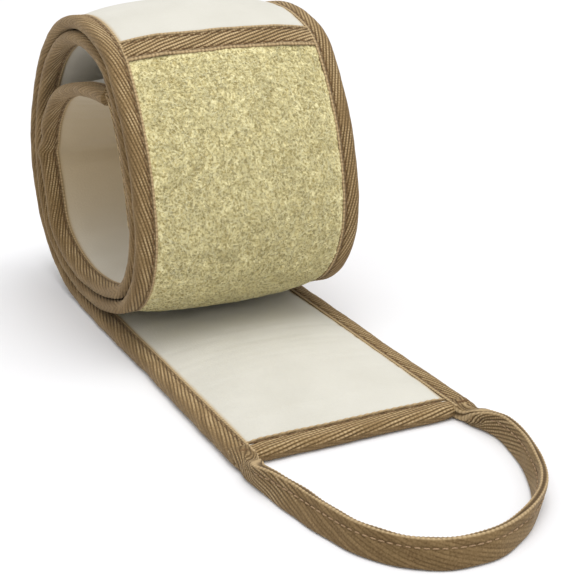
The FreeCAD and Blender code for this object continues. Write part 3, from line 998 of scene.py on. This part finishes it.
def front_handle_point(t, angle, out=0.0):
    """Points on the front handle, or out mm off its surface. The tape's fold is at the bottom of
    the loop and turns outwards at its ends."""
    base, side, thick, high, lean = front_handle_frame(t)
    folded_outwards = np.pi / 2 * (1 - smooth(from_end(t), 0.0, 15.0))
    a, b = section_point(angle + folded_outwards, thick + out, high + out)
    b = b + high + 0.1
    x, z = a * np.cos(lean) - b * np.sin(lean), a * np.sin(lean) + b * np.cos(lean)
    points = base + side * x[..., None]
    points[..., 2] += z
    return lifted(points * MM)


def front_handle(name, node):
    ends = np.linspace(-HANDLE_SINK, FRONT_PATH.length + HANDLE_SINK, 420)
    t, angle, v = handle_grid(ends, 64)
    points = front_handle_point(t, angle)
    middle = points.mean(1, keepdims=True)
    for end in (0, -1):
        points[end] = middle[end]
    slit = bell(np.abs(angle), np.pi, 0.12)
    seam = bell(np.abs(v), HANDLE_SEAM, 0.5)
    clear = 0.25 + 0.75 * (1 - smooth(from_end(t), 24.0, 46.0))
    clear = clear * (0.8 + 0.2 * wave2(t, v, 21.0, 84))
    ribs = RIB_DEPTH * (rib_height(-t, v) - 1) * clear
    selvage = smooth(np.abs(v), 10.0, 10.5)
    height = ribs * (1 - selvage) + 0.12 * beads(t) * selvage - 0.5 * slit - seam * 0.28
    height = height + 0.15 * wave2(t, v, 17.0, 83)
    shade = 0.7 * slit + 0.25 * seam + 0.22 * (1 - selvage)
    # The hem value lightens the selvage, with a painted highlight on each bead.
    values = {"shade": np.clip(shade, 0, 1), "weave": np.clip(clear * (1 - selvage), 0, 1),
              "hem": selvage * (1 - slit) * (0.5 + 0.25 * beads(t))}
    return grid_object(name, points, points - middle, height, -t, v, wrap=True, values=values,
                       nodes=[node], **TAPED)


def front_handle_stitches(name, node):
    made = []
    for k, sign in enumerate((1, -1)):
        def line(t, sign=sign):
            angle = np.interp(sign * HANDLE_SEAM, LENGTHS, ANGLES) + 0 * t
            points = front_handle_point(t, angle)
            out = unit(front_handle_point(t, angle, 0.5) - points)
            across = unit(np.cross(np.gradient(points, axis=1), out))
            return points - out * mm(0.12), across, out
        made.append(stitch_tubes(name + "_" + str(k), HANDLE_BARE, FRONT_PATH.length - HANDLE_BARE,
                                 line, [node] if k == 0 else [], THREAD_LOOK))
    return made


handle_pieces = [front_handle("front_handle_loop", "front_handle_tape")]
handle_pieces += front_handle_stitches("front_handle_stitches", "front_handle_stitching")

# The rear handle lies flat against the inside of the roll's front wall, as a U with rounded corners.
REAR_START = SECOND_TURN + arcs_length(NEXT_TURN[:4]) + 5.5
WALL = -OUT - 0.9 - HALF_THICK  # offset of its middle line
LEG = HALF - 6.0            # from the strap's middle to each leg
TURN_RADIUS = 28.0
LEG_END = 925.4 - TURN_RADIUS  # where the legs begin to turn
REAR_BEND = 11.0            # length that it takes to leave the strap's end
LEG_LENGTH, TURN_LENGTH = LEG_END - REAR_START, TURN_RADIUS * np.pi / 2
REAR_TOTAL = 2 * (REAR_BEND + LEG_LENGTH + TURN_LENGTH) + 2 * (LEG - TURN_RADIUS)


def rear_line(q, axis):
    """The rear handle's middle line at share q from its left end to its right, the way out of its
    face and the way across. It leaves the strap's end, bends down and follows the wall in a U."""
    t = np.minimum(q, 1 - q) * REAR_TOTAL - REAR_BEND
    past = t - LEG_LENGTH
    a = np.clip(past / TURN_RADIUS, 0, np.pi / 2)
    s = np.where(past >= 0, LEG_END + TURN_RADIUS * np.sin(a), REAR_START + np.maximum(t, 0))
    x = LEG - TURN_RADIUS * (1 - np.cos(a)) - np.maximum(past - TURN_LENGTH, 0)
    side = np.where(q < 0.5, -1.0, 1.0)
    centre = place(s, side * x, WALL + 0 * s)
    first = place(REAR_END - 3.0 + 0 * s, side * (HALF - 4.5), 0 * s)
    corner = place(REAR_START - 7.0 + 0 * s, side * (HALF - 5.5), WALL - 0.5 + 0 * s)
    k = np.clip((t + REAR_BEND) / REAR_BEND, 0, 1)[..., None]
    curve = first * (1 - k) ** 2 + 2 * corner * k * (1 - k) + centre * k ** 2
    centre = np.where(t[..., None] < 0, curve, centre)
    way = unit(np.gradient(centre, axis=axis))
    across = unit(np.cross(way, -outside(s)))
    return centre, np.cross(across, way), across


def rear_handle(name, node):
    q, angle, v = handle_grid(np.linspace(0.0, 1.0, 260), 48)
    centre, out, across = rear_line(q, 0)
    a, b = section_point(angle, HALF_THICK, HALF_HIGH)
    near = smooth(np.minimum(q, 1 - q) * REAR_TOTAL, 0.0, 10.0)
    points = (centre + out * mm(a * (1.6 - 0.6 * near))[..., None]
              + across * mm(b * (0.7 + 0.3 * near))[..., None])
    t = q * REAR_TOTAL
    height = RIB_DEPTH * (rib_height(t, v) - 1)
    return grid_object(name, points, points - centre, height, t, v, wrap=True,
                       values={"weave": 0.8}, nodes=[node], **TAPED)


def rear_handle_stitches(name, node):
    def line(t):
        centre, out, across = rear_line(t / REAR_TOTAL, 1)
        return centre + out * mm(HALF_THICK - 0.15), across, out
    return stitch_tubes(name, HANDLE_BARE, REAR_TOTAL - HANDLE_BARE, line, [node], THREAD_LOOK)


rear_pieces = [rear_handle("rear_handle_loop", "rear_handle_tape"),
               rear_handle_stitches("rear_handle_stitches", "rear_handle_stitching")]

# ---- bodies: the flap and roll pieces hang from empties, the rest stay where they are

for piece in front_pieces:
    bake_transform(piece)
for piece in flap_pieces:
    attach(piece, "flap")
for piece in roll_pieces:
    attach(piece, "roll")
for piece in handle_pieces:
    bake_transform(piece)
for piece in rear_pieces:
    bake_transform(piece)

# ---- stage, light and camera

corners = 12.0 * np.array([(-1, -1, 0), (1, -1, 0), (1, 1, 0), (-1, 1, 0)])
floor = new_object("floor", corners, np.array([[0, 1, 2, 3]]), material=floor_material())

# A white sky, brightest overhead and towards the front handle, and one large soft light above.
world = bpy.data.worlds.new("studio")
scene.world = world
world.use_nodes = True
tree = world.node_tree
background = tree.nodes["Background"]
background.inputs["Color"].default_value = (1.0, 1.0, 1.0, 1.0)
direction, overhead, sky = (tree.nodes.new("ShaderNode" + kind)
                            for kind in ("TexCoord", "VectorMath", "MapRange"))
overhead.operation = "DOT_PRODUCT"
overhead.inputs[1].default_value = (0.05, -0.28, 0.96)
for key, value in (("From Min", -0.15), ("From Max", 1.0), ("To Min", 0.38), ("To Max", 1.22)):
    sky.inputs[key].default_value = value
tree.links.new(direction.outputs["Generated"], overhead.inputs[0])
tree.links.new(overhead.outputs["Value"], sky.inputs["Value"])
tree.links.new(sky.outputs["Result"], background.inputs["Strength"])


def put_in_scene(name, data, position, looking):
    """A light or camera at a position, turned to look along a vector."""
    obj = bpy.data.objects.new(name, data)
    obj.location = position
    obj.rotation_euler = looking.to_track_quat("-Z", "Y").to_euler()
    scene.collection.objects.link(obj)
    return obj


key_light = bpy.data.lights.new("key", "AREA")
key_light.shape, key_light.size, key_light.energy = "SQUARE", 1.5, 25.0
key_position, key_target = Vector((0.2, -0.25, 2.4)), Vector((0, 0, 0.03))
put_in_scene("key", key_light, key_position, key_target - key_position)

azimuth, elevation = math.radians(-26.22), math.radians(20.33)
camera_data = bpy.data.cameras.new("camera")
camera_data.lens = 83.17
camera_data.sensor_width = 36.0
back = Vector((math.sin(azimuth) * math.cos(elevation),
               -math.cos(azimuth) * math.cos(elevation), math.sin(elevation)))
scene.camera = put_in_scene("camera", camera_data, (-0.2161, -0.4550, 0.2213), -back)
scene.view_settings.view_transform = "Standard"
